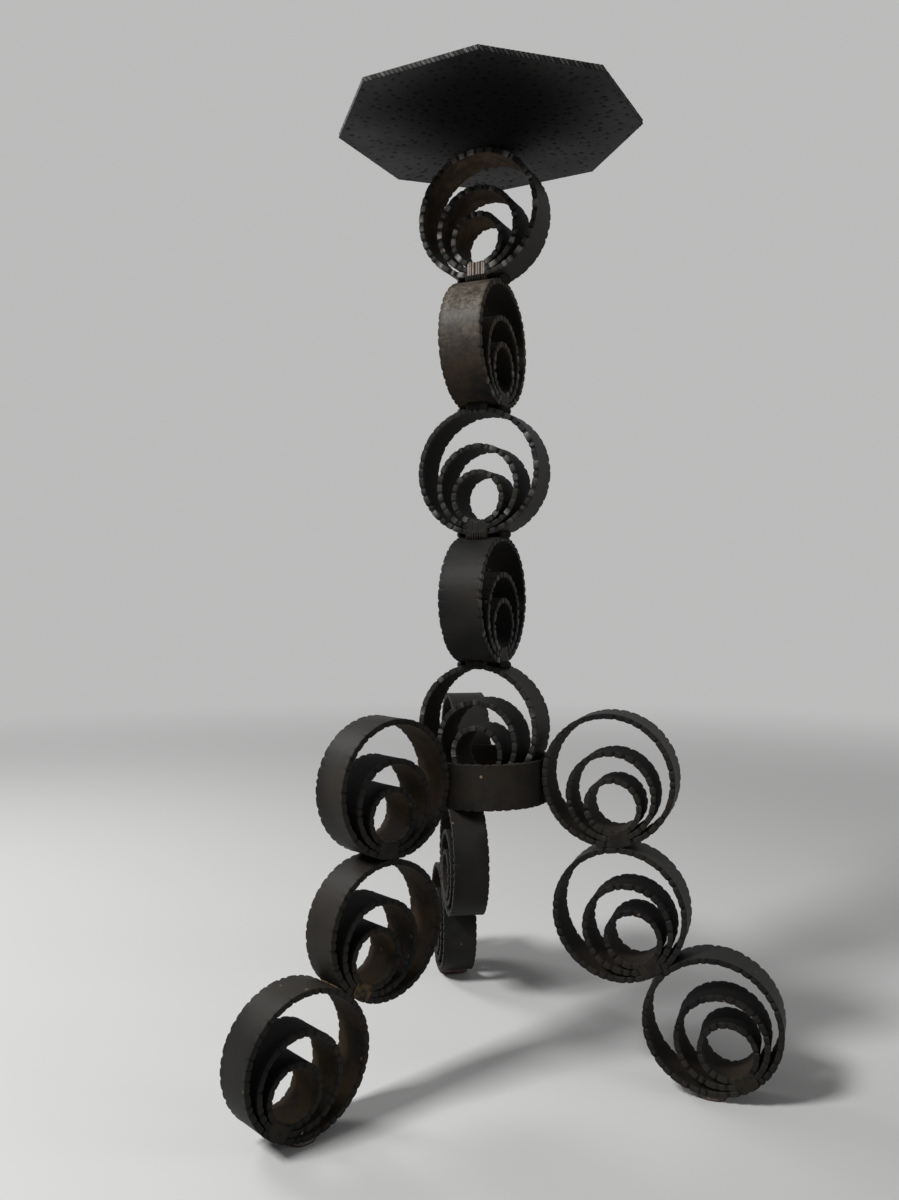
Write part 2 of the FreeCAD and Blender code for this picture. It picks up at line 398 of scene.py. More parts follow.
def ring_sheet(name, centre, first, second, radius, width, polish, rust, pale=0.0, shelter=0.0):
    """A ring of flat bar whose section is carried round a circle, with notches hammered along both edges.

    At a notch the edge lies lower along the axis and the section is pinched. Both fade away from the edge.
    The crests' worn metal is brightened on one side of the ring as a painted highlight, and a painted sheen
    pales the outside on another side, each by the cosine of the angle from there. Fields also mark painted
    shade in the notches, on the inner faces and on the outer faces of nested rings.
    """
    random = dice(name)
    count = int(round(TAU * radius / NOTCH_PITCH))
    angle = np.linspace(0, TAU, count * NOTCH_STEPS, endpoint=False)
    axial, radial = bar_section(width, BAR_THICKNESS)
    near = notch_row(angle, count, random)
    far = notch_row(angle, count, random)
    side = axial > 0
    notch, height, shine = (np.where(side[None, :], a[:, None], b[:, None]) for a, b in zip(near, far))
    from_edge = width / 2 - np.abs(axial)
    on_edge = np.clip(1 - from_edge / EDGE_RADIUS, 0, 1)
    along = axial + np.sign(axial) * on_edge * (CREST_RISE * height - NOTCH_DEPTH * notch)
    pinch = np.exp(-from_edge / LIP_REACH) * (CREST_LIP - NOTCH_PINCH * notch)
    out = radius - BAR_THICKNESS / 2 + radial * (1 + pinch / (BAR_THICKNESS / 2))
    spoke = np.cos(angle)[:, None, None] * first + np.sin(angle)[:, None, None] * second
    points = centre + spoke * out[..., None] + np.cross(first, second) * along[..., None]
    # The crests' worn metal is brightened on one side of the ring: a painted highlight
    worn = 1 - GLINT_SIDE_SHARE + GLINT_SIDE_SHARE * np.cos(angle - math.radians(GLINT_SIDE_ANGLE))
    # The outside is paled by a painted sheen, strongest at one angle round the ring
    sheen_side = np.clip(np.cos(angle - math.radians(SHEEN_SIDE_ANGLE)), 0, 1) ** SHEEN_FOCUS
    from_corner = np.clip(from_edge / CORNER_REACH, 0, 1)
    inside = (radial < 0) * from_corner
    outside = (radial > 0) * from_corner
    fields = {
        "wear": polish * worn[:, None] * shine * np.clip(1.5 - from_edge / WEAR_REACH, 0, 1),
        "inside": inside,
        "groove": np.clip(notch, 0, 1) * np.exp(-from_edge / NOTCH_SHADE_REACH),
        "rust": rust[1] + (rust[0] - rust[1]) * inside,
        "pale": pale * sheen_side[:, None] * outside,
        "shelter": shelter * outside,
    }
    return points, True, True, fields


# Where the sets of three rings stand

RingSet = collections.namedtuple("RingSet", "name look weld_node centre turn nest width")


def column_turn(number):
    """The heading of the upright plane that this column set lies in."""
    return COLUMN_TURN_ANGLES[number - 1] + COLUMN_STEP_ANGLE * (COLUMN_SETS - number)


def column_width(number):
    """The bar width of this column set. Every second set is of wider bar."""
    return BAR_WIDTH if number % 2 else WIDE_BAR_WIDTH


def leg_centres(azimuth):
    """The centres of a leg's sets, from the hub to the foot, each a ring pitch down the leg from the last."""
    centres = [COLUMN_AXIS + heading(azimuth) * LEG_REACH + UP * LEG_TOP]
    for drop in LEG_DROP_ANGLES:
        centres.append(centres[-1] + downward(azimuth, drop) * RING_PITCH)
    return centres


def ring_sets():
    """Every set of three rings, from the top of the column down and then leg by leg."""
    for number in range(1, COLUMN_SETS + 1):
        name = f"column_{number}"
        centre = COLUMN_AXIS + UP * (TOP_SET_HEIGHT - (number - 1) * RING_PITCH)
        turn = column_turn(number)
        yield RingSet(name, name, "column_nest_welds", centre, turn, 0.0, column_width(number))
    for leg, azimuth in LEG_AZIMUTHS.items():
        look = f"{leg}_leg"
        for number, (centre, nest) in enumerate(zip(leg_centres(azimuth), LEG_NEST_ANGLES), start=1):
            yield RingSet(f"{look}_{number}", look, f"{look}_welds", centre, azimuth, nest, BAR_WIDTH)


# Welds

def bead_sheet(path, side, up, width, height, ripples, random, loop=False, rust=BEAD_RUST):
    """A weld bead: a flattened round section carried along a path, with ripples and closed, rounded ends.

    The section is an ellipse, low under the path and as high as the ripples make it above.
    """
    steps = len(path)
    run = np.linspace(0, 1, steps)
    swell = np.ones(steps) if loop else (1 - np.abs(2 * run - 1) ** 6) ** 0.5
    phase = random.uniform(0, TAU)
    rough = random.uniform(-RIPPLE_ROUGHNESS, RIPPLE_ROUGHNESS, steps)
    wave = 1 + RIPPLE_SHARE * np.sin(TAU * ripples * run + phase) + rough
    around = np.linspace(0, TAU, BEAD_SIDES, endpoint=False)
    wide = np.cos(around)[None, :] * (width / 2 * swell * (0.9 + 0.1 * wave))[:, None]
    rise = np.where(np.sin(around) > 0, np.sin(around), 0.4 * np.sin(around))
    high = rise[None, :] * (height * swell * wave)[:, None]
    points = path[:, None] + wide[..., None] * side[:, None] + high[..., None] * up[:, None]
    wear = 0.5 * np.clip(rise, 0, 1)[None, :] * wave[:, None]
    return points, loop, True, {"wear": wear, "fresh": 0.0, "rust": rust}


def straight_bead(middle, along, side, up, size, random, rust=BEAD_RUST):
    """A bead whose path is a straight line about its middle. Its size is its length, width and height."""
    length, width, height = size
    path = middle + np.linspace(-length / 2, length / 2, BEAD_STEPS)[:, None] * along
    spread = np.ones((BEAD_STEPS, 1))
    ripples = length / RIPPLE_LENGTH
    return bead_sheet(path, spread * side, spread * up, width, height, ripples, random, rust=rust)


def round_bead(middle, first, second, size, random):
    """A bead that runs once round a circle, with its back to the middle.

    Its size is its radius, width and height. Its last step joins its first, so a step's share of the ripples
    is left for that.
    """
    radius, width, height = size
    angle = np.linspace(0, TAU, ROUND_BEAD_STEPS, endpoint=False)
    spoke = np.cos(angle)[:, None] * first + np.sin(angle)[:, None] * second
    axis = np.ones((ROUND_BEAD_STEPS, 1)) * np.cross(first, second)
    ripples = round(TAU * radius / ROUND_RIPPLE_LENGTH) * (ROUND_BEAD_STEPS - 1) / ROUND_BEAD_STEPS
    return bead_sheet(middle + spoke * radius, axis, spoke, width, height, ripples, random, True)


def saddle_bead(middle, along, side, half_length, random):
    """The weld between two crossed rings: it fills the gap under the upper ring's lowest line, along it.

    The lower ring falls away along the line and the upper ring rises across it, each by distance squared over
    its diameter. The section is a rounded rectangle between the two, with ripples along it and closed ends.
    """
    run = np.linspace(-1, 1, SADDLE_STEPS)
    loop = np.linspace(0, TAU, SADDLE_SIDES, endpoint=False)
    swell = (1 - np.abs(run) ** 8) ** 0.5
    phase = random.uniform(0, TAU)
    rough = random.uniform(-SADDLE_ROUGHNESS, SADDLE_ROUGHNESS, run.size)
    ripple = 1 + SADDLE_RIPPLE_SHARE * np.sin(TAU * SADDLE_RIPPLES * run + phase) + rough
    u = run * half_length
    v = SADDLE_HALF_WIDTH * squared_cosine(loop, 0.6) * (swell * ripple)[:, None]
    rise = np.abs(np.sin(loop)) ** 0.5
    above = rise * (v ** 2 / OUTER_DIAMETER + SADDLE_OVERLAP) * swell[:, None]
    below = rise * ((u ** 2 / OUTER_DIAMETER + SADDLE_OVERLAP) * swell)[:, None]
    height = np.where(np.sin(loop) > 0, above, -below)
    points = middle + u[:, None, None] * along + v[..., None] * side + height[..., None] * UP
    return points, False, True, {"wear": 0.3, "fresh": 0.0, "rust": BEAD_RUST}


def nest_patch(ring_set, near, fresh, rust, random):
    """The weld across the edges of three touching rings: a low pillow with ridges towards the ring's middle.

    Its height is a rounded rectangle with a bell curve for each ridge, which has its own place and strength.
    Its rows bend with the rings they cover.
    """
    run = np.linspace(-1, 1, PATCH_STEPS)
    loop = np.linspace(0, TAU, PATCH_SIDES, endpoint=False)
    swell = (1 - np.abs(run) ** 6) ** 0.5
    ragged_places = np.linspace(-1, 1, PATCH_RAGGED_STEPS)
    ragged = np.interp(run, ragged_places, random.uniform(*PATCH_RAGGED, PATCH_RAGGED_STEPS))
    reach = (PATCH_END - PATCH_START) / 2 * (0.25 + 0.75 * swell) + ragged * swell
    depth = (PATCH_START + PATCH_END) / 2 + squared_cosine(loop, 0.4)[None, :] * reach[:, None]
    place = (run + 1) / 2 * PATCH_RIDGES
    number = np.clip(np.floor(place).astype(int), 0, PATCH_RIDGES - 1)
    shift = random.uniform(-RIDGE_SHIFT, RIDGE_SHIFT, PATCH_RIDGES)
    strength = random.uniform(*RIDGE_STRENGTHS, PATCH_RIDGES)
    across_ridge = (place - number - 0.5 - shift[number]) / RIDGE_BREADTH
    ridge = strength[number] * np.exp(-np.abs(across_ridge) ** 3)
    rough = random.uniform(-RIDGE_ROUGHNESS, RIDGE_ROUGHNESS, run.size)
    top = PATCH_BASE + (0.3 + 0.9 * fresh) * ridge + rough
    crown = np.abs(np.sin(loop)) ** 0.45
    base = -0.8 * np.abs(np.sin(loop)) ** 0.6
    rise = np.where(np.sin(loop) > 0, crown, base)
    height = ring_set.width / 2 - PATCH_SINK + rise[None, :] * (top * swell)[:, None]
    across = np.broadcast_to(run[:, None] * PATCH_LENGTH / 2, depth.shape)
    bend = RING_RADIUS - depth * 2.6
    fall = depth + across ** 2 / (2 * bend)
    down = downward(ring_set.turn, ring_set.nest)
    level = downward(ring_set.turn, ring_set.nest + 90)
    axis = np.cross(heading(ring_set.turn), UP) * (1 if near else -1)
    flat = ring_set.centre + down * (RING_RADIUS - fall)[..., None] + level * across[..., None]
    wear = np.clip(rise, 0, 1)[None, :] * (0.15 + 0.85 * ridge)[:, None]
    return flat + axis * height[..., None], False, True, {"wear": wear, "fresh": fresh, "rust": rust}


def crossing_beads(number, random):
    """The weld between a column set and the one below: a saddle in the gap and a bead on four edges."""
    crossing = COLUMN_AXIS + UP * (TOP_SET_HEIGHT - (number - 0.5) * RING_PITCH)
    across = heading(column_turn(number))
    aside = heading(column_turn(number) + 90)
    upper = column_width(number) / 2
    lower = column_width(number + 1) / 2
    beads = [saddle_bead(crossing, aside, across, upper - SADDLE_MARGIN, random)]
    for half, out, rise in ((upper, aside, -1), (lower, across, 1)):
        gap = UP * rise * half ** 2 / OUTER_DIAMETER / 2
        for side in (-1, 1):
            edge = crossing + out * side * (half - CROSSING_BEAD_DEPTH) + gap
            beads.append(straight_bead(edge, np.cross(UP, out), UP, out * side, CROSSING_BEAD, random))
    return beads


def hub_leg_bead(azimuth, random):
    """The weld between the hub and a leg's first set: a round bead about the point where they touch."""
    contact = COLUMN_AXIS + heading(azimuth) * (HUB_RADIUS + WELD_GAP / 2) + UP * LEG_TOP
    return round_bead(contact, heading(azimuth + 90), UP, HUB_LEG_BEAD, random)


def groove_beads(leg, azimuth, random):
    """The welds along a leg: a bead in each of the two grooves between a set and the next."""
    beads = []
    aside = heading(azimuth + 90)
    for number, (centre, drop) in enumerate(zip(leg_centres(azimuth), LEG_DROP_ANGLES), start=1):
        rust = WELD_RUST.get(f"{leg}_leg_{number}", PLAIN_WELD_RUST)
        down = downward(azimuth, drop)
        level = downward(azimuth, drop + 90)
        contact = centre + down * (RING_PITCH / 2)
        for side in (-1, 1):
            groove = contact + level * side * GROOVE_BEAD_OFFSET
            beads.append(straight_bead(groove, aside, down, level * side, GROOVE_BEAD, random, rust))
    return beads


def seat_beads(random):
    """The welds where the four corners of the lowest column set rest on the hub."""
    along = heading(column_turn(COLUMN_SETS))
    aside = heading(column_turn(COLUMN_SETS) + 90)
    beads = []
    for side in (-1, 1):
        for end in (-1, 1):
            corner = COLUMN_AXIS + along * side * CORNER_X + aside * end * HALF_WIDTH + UP * HUB_TOP
            middle = corner - along * side * SEAT_BEAD_DEPTH
            beads.append(straight_bead(middle, aside, along, UP, SEAT_BEAD, random))
    return beads


def plate_beads(random):
    """The weld under the plate: a bead in each of the two grooves beside the top set's highest line."""
    out = heading(column_turn(1))
    aside = heading(column_turn(1) + 90)
    beads = []
    for side in (-1, 1):
        groove = COLUMN_AXIS + out * side * PLATE_BEAD_OFFSET + UP * (PLATE_BOTTOM - PLATE_BEAD_DROP)
        beads.append(straight_bead(groove, aside, UP, out * side, PLATE_BEAD, random))
    return beads


# Plate

def dents(x, y, random):
    """Depth of small round dents, one to a cell: shallow bowls with their own place, size and depth."""
    grid = (DENT_CELLS, DENT_CELLS)
    place_x = random.uniform(*DENT_PLACES, grid)
    place_y = random.uniform(*DENT_PLACES, grid)
    size = random.uniform(*DENT_SIZES, grid) * DENT_CELL
    deep = DENT_DEPTH * random.uniform(0.0, 1.0, grid)
    column = np.floor(x / DENT_CELL).astype(int)
    row = np.floor(y / DENT_CELL).astype(int)
    depth = np.zeros_like(x)
    for right in (-1, 0, 1):
        for up in (-1, 0, 1):
            i = (column + right) % DENT_CELLS
            j = (row + up) % DENT_CELLS
            gone_x = x - (column + right + place_x[i, j]) * DENT_CELL
            gone_y = y - (row + up + place_y[i, j]) * DENT_CELL
            bowl = np.clip(1 - (gone_x ** 2 + gone_y ** 2) / size[i, j] ** 2, 0, 1)
            depth = np.maximum(depth, deep[i, j] * bowl ** 1.5)
    return depth


def plate_outline(along):
    """Points of the octagon at these numbers of sides along it, on straight lines between its corners."""
    reach = HALF_ACROSS / math.cos(math.pi / PLATE_SIDES)
    corner = np.floor(along)
    part = (along - corner)[:, None]
    turn = np.radians(PLATE_TURN_ANGLE) + corner * TAU / PLATE_SIDES
    next_turn = turn + TAU / PLATE_SIDES
    start = np.stack([np.cos(turn), np.sin(turn)], -1) * reach
    end = np.stack([np.cos(next_turn), np.sin(next_turn)], -1) * reach
    return start * (1 - part) + end * part


def plate_sheet():
    """The octagonal plate: loops of its outline from the middle of its underside to the middle of its top.

    Dents sink into both faces. Slanted ridges stand along the rim, a peaked wave on the outline that shifts
    with height. Painted shade darkens a spot near the middle of the underside, fading with the fourth power
    of the distance, and the grooves between the rim's ridges. The dent field marks painted shade in the
    dents.
    """
    random = dice("candle_plate")
    steps = RIM_RIDGE_STEPS * RIM_RIDGES_PER_SIDE
    along = np.arange(PLATE_SIDES * steps) / steps
    loops = np.linspace(0, HALF_ACROSS - FACE_MARGIN, FACE_LOOPS)
    under = np.concatenate([loops, HALF_ACROSS - RIM_LINES])
    rim = HALF_ACROSS - RIM_BEVEL
    from_middle = np.concatenate([under, rim, under[::-1]])
    under_height = np.zeros(under.size)
    rim_height = PLATE_THICKNESS * RIM_HEIGHT_SHARES
    height = np.concatenate([under_height, rim_height, under_height + PLATE_THICKNESS])
    ridge = along[:, None] * RIM_RIDGES_PER_SIDE + RIM_RIDGE_SLANT * height[None, :]
    strength = random.uniform(*RIM_RIDGE_STRENGTHS, PLATE_SIDES * RIM_RIDGES_PER_SIDE)
    peak = (0.5 + 0.5 * np.cos(TAU * ridge)) ** 2 * strength[np.round(ridge).astype(int) % strength.size]
    edge = np.exp(-(HALF_ACROSS - from_middle) / RIM_REACH)
    grow = (from_middle[None, :] - RIM_RIDGE_HEIGHT * (1 - peak) * edge[None, :]) / HALF_ACROSS
    flat = plate_outline(along)[:, None, :] * grow[..., None]
    x, y = flat[..., 0], flat[..., 1]
    bowl = dents(x + DENT_GRID_START, y + DENT_GRID_START, random)
    calm = np.clip((HALF_ACROSS - from_middle) / CALM_RIM, 0, 1)
    below = height < PLATE_THICKNESS / 2
    lift = np.where(below, bowl, -DENT_TOP_SHARE * bowl) * calm
    middle = COLUMN_AXIS + np.array([PLATE_SHIFT[0], PLATE_SHIFT[1], PLATE_BOTTOM])
    points = np.concatenate([flat, (height[None, :] + lift)[..., None]], -1) + middle
    from_spot = np.hypot(x - SHADE_SPOT[0], y - SHADE_SPOT[1])
    # Painted shade: a dark spot near the middle of the underside
    soot = (height == 0)[None, :] * np.exp(-(from_spot / SHADE_RADIUS) ** 4)
    # Painted shade in the grooves between the rim's ridges
    rim_shade = edge[None, :] ** 2 * (1 - peak)
    fields = {
        "wear": edge[None, :] ** 2 * peak,
        "dent": np.clip(bowl * calm / DENT_DARK_DEPTH, 0, 1),
        "soot": np.maximum(soot, rim_shade),
    }
    return points, True, False, fields


# Foot pads

def pad_sheet(ring_centre, azimuth):
    """A pad under a foot ring: loops of a rounded rectangle from the middle of its base to that of its top.

    The outline is a superellipse. The side bulges a little, and the top is hollowed to the ring's radius.
    """
    loop = np.linspace(0, TAU, PAD_STEPS, endpoint=False)
    spread = PAD_SPREAD[:, None]
    share = PAD_HEIGHT_SHARES[:, None]
    x = PAD_LENGTH / 2 * squared_cosine(loop, PAD_SQUARENESS) * spread
    y = PAD_WIDTH / 2 * squared_cosine(loop - TAU / 4, PAD_SQUARENESS) * spread
    hollow = RING_RADIUS - np.sqrt(RING_RADIUS ** 2 - x ** 2)
    height = share * (PAD_THICKNESS - PAD_CLEARANCE + hollow)
    foot = ring_centre * np.array([1.0, 1.0, 0.0])
    flat = foot + x[..., None] * heading(azimuth) + y[..., None] * heading(azimuth + 90)
    return flat + height[..., None] * UP, False, True, {"share": share}


# Finishes

# Sockets of a Mix node that take and give colours
MIX_FIRST = 6
MIX_SECOND = 7
MIX_RESULT = 2


class Value:
    """One output of a shader node. Sums on numbers add Math nodes."""

    def __init__(self, nodes, socket):
        self.nodes = nodes
        self.socket = socket

    def maths(self, operation, first, second):
        return self.nodes.add("ShaderNodeMath", {"operation": operation}, {0: first, 1: second})[0]

    def __add__(self, other):
        return self.maths("ADD", self, other)

    __radd__ = __add__

    def __mul__(self, other):
        return self.maths("MULTIPLY", self, other)

    __rmul__ = __mul__

    def __sub__(self, other):
        return self.maths("SUBTRACT", self, other)

    def __rsub__(self, other):
        return self.maths("SUBTRACT", other, self)

    def between(self, low, high):
        """0 below low, 1 above high, and smooth from one to the other."""
        settings = {"interpolation_type": "SMOOTHSTEP"}
        inputs = {"Value": self, "From Min": low, "From Max": high}
        return self.nodes.add("ShaderNodeMapRange", settings, inputs)[0]


class Nodes:
    """A tree of shader nodes, empty at first."""

    def __init__(self, tree):
        self.tree = tree
        self.tree.nodes.clear()

    def add(self, kind, settings, inputs):
        """Adds a node of this type, with its settings first and then its sockets' values or links."""
        node = self.tree.nodes.new(kind)
        for key, setting in settings.items():
            setattr(node, key, setting)
        for key, given in inputs.items():
            if isinstance(given, Value):
                self.tree.links.new(given.socket, node.inputs[key])
            else:
                node.inputs[key].default_value = given
        outputs = {}
        for number, socket in enumerate(node.outputs):
            outputs[number] = Value(self, socket)
            outputs.setdefault(socket.name, outputs[number])
        return outputs

    def seen(self):
        """1 for rays from the camera or from a shiny or clear surface, and 0 for those that gather light."""
        path = self.add("ShaderNodeLightPath", {}, {})
        return path["Is Camera Ray"] + path["Is Glossy Ray"] + path["Is Transmission Ray"]


class Finish(Nodes):
    """A material built from nodes, with patterns laid out in the stand's own metres."""

    def __init__(self, name):
        self.material = bpy.data.materials.new(name)
        self.material.use_nodes = True
        super().__init__(self.material.node_tree)
        self.place = self.add("ShaderNodeTexCoord", {}, {})["Object"]

    def noise(self, size, detail=3.0, roughness=0.55):
        """Cloudy pattern whose largest features are about this many metres across."""
        inputs = {"Vector": self.place, "Scale": 1 / size, "Detail": detail, "Roughness": roughness}
        return self.add("ShaderNodeTexNoise", {}, inputs)["Fac"]

    def field(self, name):
        """A number stored on the piece's points."""
        return self.add("ShaderNodeAttribute", {"attribute_name": name}, {})["Fac"]

    def mix(self, factor, first, second):
        """Blend from the first colour to the second."""
        sockets = {"Factor": factor, MIX_FIRST: first, MIX_SECOND: second}
        return self.add("ShaderNodeMix", {"data_type": "RGBA"}, sockets)[MIX_RESULT]

    def bump(self, height, depth, strength, under=None):
        """Bends the surface by a height pattern of this depth in metres."""
        inputs = {"Height": height, "Distance": depth, "Strength": strength}
        if under is not None:
            inputs["Normal"] = under
        return self.add("ShaderNodeBump", {}, inputs)["Normal"]

    def surface(self, **sockets):
        """The shader and its output."""
        named = {key.replace("_", " "): given for key, given in sockets.items()}
        shader = self.add("ShaderNodeBsdfPrincipled", {}, named)[0]
        self.add("ShaderNodeOutputMaterial", {}, {"Surface": shader})
        return self.material


def colour(red, green, blue):
    """A full colour from its three shares."""
    return (red, green, blue, 1.0)


# Colours of the bars
CHARCOAL = colour(0.0070, 0.0071, 0.0072)
ASH_BLACK = colour(0.0155, 0.0152, 0.0146)
BROWN_VEIL = colour(0.028, 0.0235, 0.0185)
# Painted shade on the inner faces of the rings
INSIDE_SHADE = colour(0.0050, 0.0048, 0.0045)
RUST_BROWN = colour(0.046, 0.031, 0.018)
DRY_RUST = colour(0.085, 0.060, 0.042)
# Painted sheen on the outer faces of some sets
SHEEN_GREY = colour(0.165, 0.148, 0.122)
# Painted shade on the outer faces of the middle and the inner rings, between the nested rings
NESTED_SHADE_BLACK = colour(0.0015, 0.0014, 0.0013)
BARE_METAL = colour(0.22, 0.215, 0.21)
DULL_METAL = colour(0.18, 0.168, 0.155)
# Painted shade in the notches of the edges
NOTCH_SHADE = colour(0.0025, 0.0025, 0.0025)
CHIP_BROWN = colour(0.14, 0.095, 0.060)
NICK_BROWN = colour(0.22, 0.16, 0.10)

# Colours of the plate
PLATE_DARK = colour(0.0220, 0.0220, 0.0220)
PLATE_LIGHT = colour(0.0480, 0.0480, 0.0470)
# Painted shade on the plate: under its middle, in its dents and between the rim's ridges
SHADE_BLACK = colour(0.0012, 0.0012, 0.0012)
RIM_METAL = colour(0.22, 0.214, 0.208)

# Colours of the welds
OLD_WELD = colour(0.0080, 0.0077, 0.0070)
WELD_BROWN = colour(0.080, 0.052, 0.020)
BRIGHT_COPPER = colour(0.52, 0.45, 0.41)
DULL_COPPER = colour(0.38, 0.30, 0.255)
GREY_WELD = colour(0.12, 0.116, 0.11)
BLACK_WELD = colour(0.009, 0.0088, 0.0085)
BROWNED_WELD = colour(0.024, 0.014, 0.008)

# Colours of the foot pads
FIBRE_BROWN = colour(0.105, 0.075, 0.064)
FIBRE_GREY = colour(0.17, 0.14, 0.125)
PAD_FOOT = colour(0.028, 0.013, 0.009)

# Colours round the stand
FLOOR_GREY = colour(0.55, 0.55, 0.545)
BACKDROP = colour(0.50, 0.50, 0.497)
ROOM_LIGHT = colour(0.13, 0.13, 0.13)


def rust_chips(iron):
    """Small round chips: the middles of a few cells of a pattern, picked by the red of a cell's colour."""
    cell = iron.add("ShaderNodeTexVoronoi", {}, {"Vector": iron.place, "Scale": 75.0, "Randomness": 1.0})
    pick = iron.add("ShaderNodeSeparateColor", {}, {"Color": cell["Color"]})["Red"]
    return (1 - cell["Distance"].between(0.08, 0.15)) * pick.between(0.90, 0.93)


def black_iron():
    """Blackened bar: cloudy charcoal, brown patina in the rings, and pale worn metal on the edges' crests,
    brighter on one side of a ring as a painted highlight; with painted shade on the inner faces, between
    nested rings and in the notches, and a painted sheen on the outside of some sets.
    """
    iron = Finish("black_iron")
    cloud = iron.noise(size=0.055)
    veil = iron.noise(size=0.10, detail=2.0)
    speck = iron.noise(size=0.0035, detail=4.0, roughness=0.7)
    grain = iron.noise(size=0.0009, detail=2.0)
    stain = iron.noise(size=0.03, detail=4.0, roughness=0.65)
    inside = iron.field("inside")
    pale = iron.field("pale")
    shelter = iron.field("shelter")
    base = iron.mix(cloud.between(0.35, 0.7), CHARCOAL, ASH_BLACK)
    base = iron.mix(veil.between(0.45, 0.65) * 0.5, base, BROWN_VEIL)
    # Painted shade on the inner faces, away from the corners
    base = iron.mix(inside * 0.7, base, INSIDE_SHADE)
    rust = stain.between(0.28, 0.72) * iron.field("rust")
    base = iron.mix(rust, base, RUST_BROWN)
    base = iron.mix((rust - 1).between(0.0, 1.0), base, DRY_RUST)
    # Painted sheen on the outside of some sets, mottled by stains and specks
    mottle = (0.3 + 0.7 * stain.between(0.35, 0.65)) * (0.35 + 0.65 * speck.between(0.40, 0.60))
    base = iron.mix(pale * mottle, base, SHEEN_GREY)
    # Painted shade between nested rings, on the outer faces of the middle and the inner rings
    base = iron.mix(shelter * 0.9, base, NESTED_SHADE_BLACK)
    # Worn metal on the crests, which the wear field brightens on one side of a ring as a painted highlight
    wear_and_glint = iron.field("wear").between(0.06, 0.95) * (0.6 + 0.4 * speck.between(0.35, 0.65))
    base = iron.mix(wear_and_glint, base, iron.mix(stain.between(0.35, 0.65), BARE_METAL, DULL_METAL))
    # Painted shade in the notches: darker down in each notch, near the edge
    base = iron.mix(iron.field("groove") * 0.75, base, NOTCH_SHADE)
    base = iron.mix(rust_chips(iron) * 0.8, base, CHIP_BROWN)
    nick = iron.add("ShaderNodeVectorMath", {"operation": "DISTANCE"}, {0: iron.place, 1: HUB_NICK})["Value"]
    base = iron.mix(1 - nick.between(*HUB_NICK_FADE), base, NICK_BROWN)
    rough = 0.43 + 0.10 * cloud + 0.10 * speck + 0.15 * rust + 0.20 * inside + 0.35 * shelter - 0.18 * pale
    normal = iron.bump(speck, depth=0.00035, strength=0.5)
    normal = iron.bump(grain, depth=0.00008, strength=0.5, under=normal)
    return iron.surface(
        Base_Color=base,
        Roughness=rough,
        Metallic=wear_and_glint * 0.3,
        Normal=normal,
        Specular_IOR_Level=0.09,
    )


def hammered_iron():
    """Blackened plate with painted shade in its dents, near the middle of its underside and between the rim's
    ridges, and pale worn ridges along the rim.
    """
    iron = Finish("hammered_iron")
    cloud = iron.noise(size=0.07)
    speck = iron.noise(size=0.003, detail=4.0, roughness=0.7)
    dent = iron.field("dent")
    soot = iron.field("soot")
    base = iron.mix(cloud.between(0.35, 0.7), PLATE_DARK, PLATE_LIGHT)
    # Painted shade under the middle of the plate and between the rim's ridges
    base = iron.mix(soot, base, SHADE_BLACK)
    # Painted shade in the dents
    base = iron.mix(dent * 0.6, base, SHADE_BLACK)
    base = iron.mix(iron.field("wear").between(0.05, 0.9) * (0.5 + 0.5 * speck), base, RIM_METAL)
    rough = 0.30 + 0.10 * cloud + 0.08 * speck + 0.3 * dent + 0.4 * soot
    normal = iron.bump(speck, depth=0.0003, strength=0.4)
    return iron.surface(Base_Color=base, Roughness=rough, Normal=normal, Specular_IOR_Level=0.06)


def weld_metal():
    """Weld: coppery ridges where it is fresh, black and rusty where it is old."""
    weld = Finish("weld_metal")
    stain = weld.noise(size=0.012, detail=4.0, roughness=0.65)
    speck = weld.noise(size=0.0015, detail=3.0, roughness=0.7)
    fresh = weld.field("fresh")
    old = weld.mix(stain.between(0.38, 0.62) * weld.field("rust"), OLD_WELD, WELD_BROWN)
    copper = weld.mix(stain.between(0.35, 0.65), BRIGHT_COPPER, DULL_COPPER)
    bright = weld.mix(fresh.between(0.4, 0.9), GREY_WELD, copper)
    ridge = weld.field("wear").between(0.15, 0.95) * (0.55 + 0.45 * speck)
    base = weld.mix(ridge * (0.04 + 0.96 * fresh), old, bright)
    rough = 0.40 + 0.2 * speck
    normal = weld.bump(speck, depth=0.0004, strength=0.7)
    return weld.surface(Base_Color=base, Roughness=rough, Normal=normal, Specular_IOR_Level=0.12)


def dark_weld():
    """Weld blackened with the bars it joins."""
    weld = Finish("dark_weld")
    stain = weld.noise(size=0.010, detail=4.0, roughness=0.65)
    speck = weld.noise(size=0.0018, detail=3.0, roughness=0.7)
    base = weld.mix(stain.between(0.4, 0.7), BLACK_WELD, BROWNED_WELD)
    rough = 0.45 + 0.2 * speck
    normal = weld.bump(speck, depth=0.0006, strength=0.8)
    return weld.surface(Base_Color=base, Roughness=rough, Normal=normal, Specular_IOR_Level=0.08)


def foot_pad():
    """Dull fibre: grey-brown with a dark red-brown foot."""
    pad = Finish("foot_pad")
    fibre = pad.noise(size=0.0012, detail=4.0, roughness=0.75)
    cloud = pad.noise(size=0.012)
    worn = pad.mix(cloud.between(0.35, 0.7), FIBRE_BROWN, FIBRE_GREY)
    base = pad.mix(pad.field("share").between(0.1, 0.45), PAD_FOOT, worn)
    normal = pad.bump(fibre, depth=0.0006, strength=0.9)
    return pad.surface(Base_Color=base, Roughness=0.9, Normal=normal, Specular_IOR_Level=0.1)


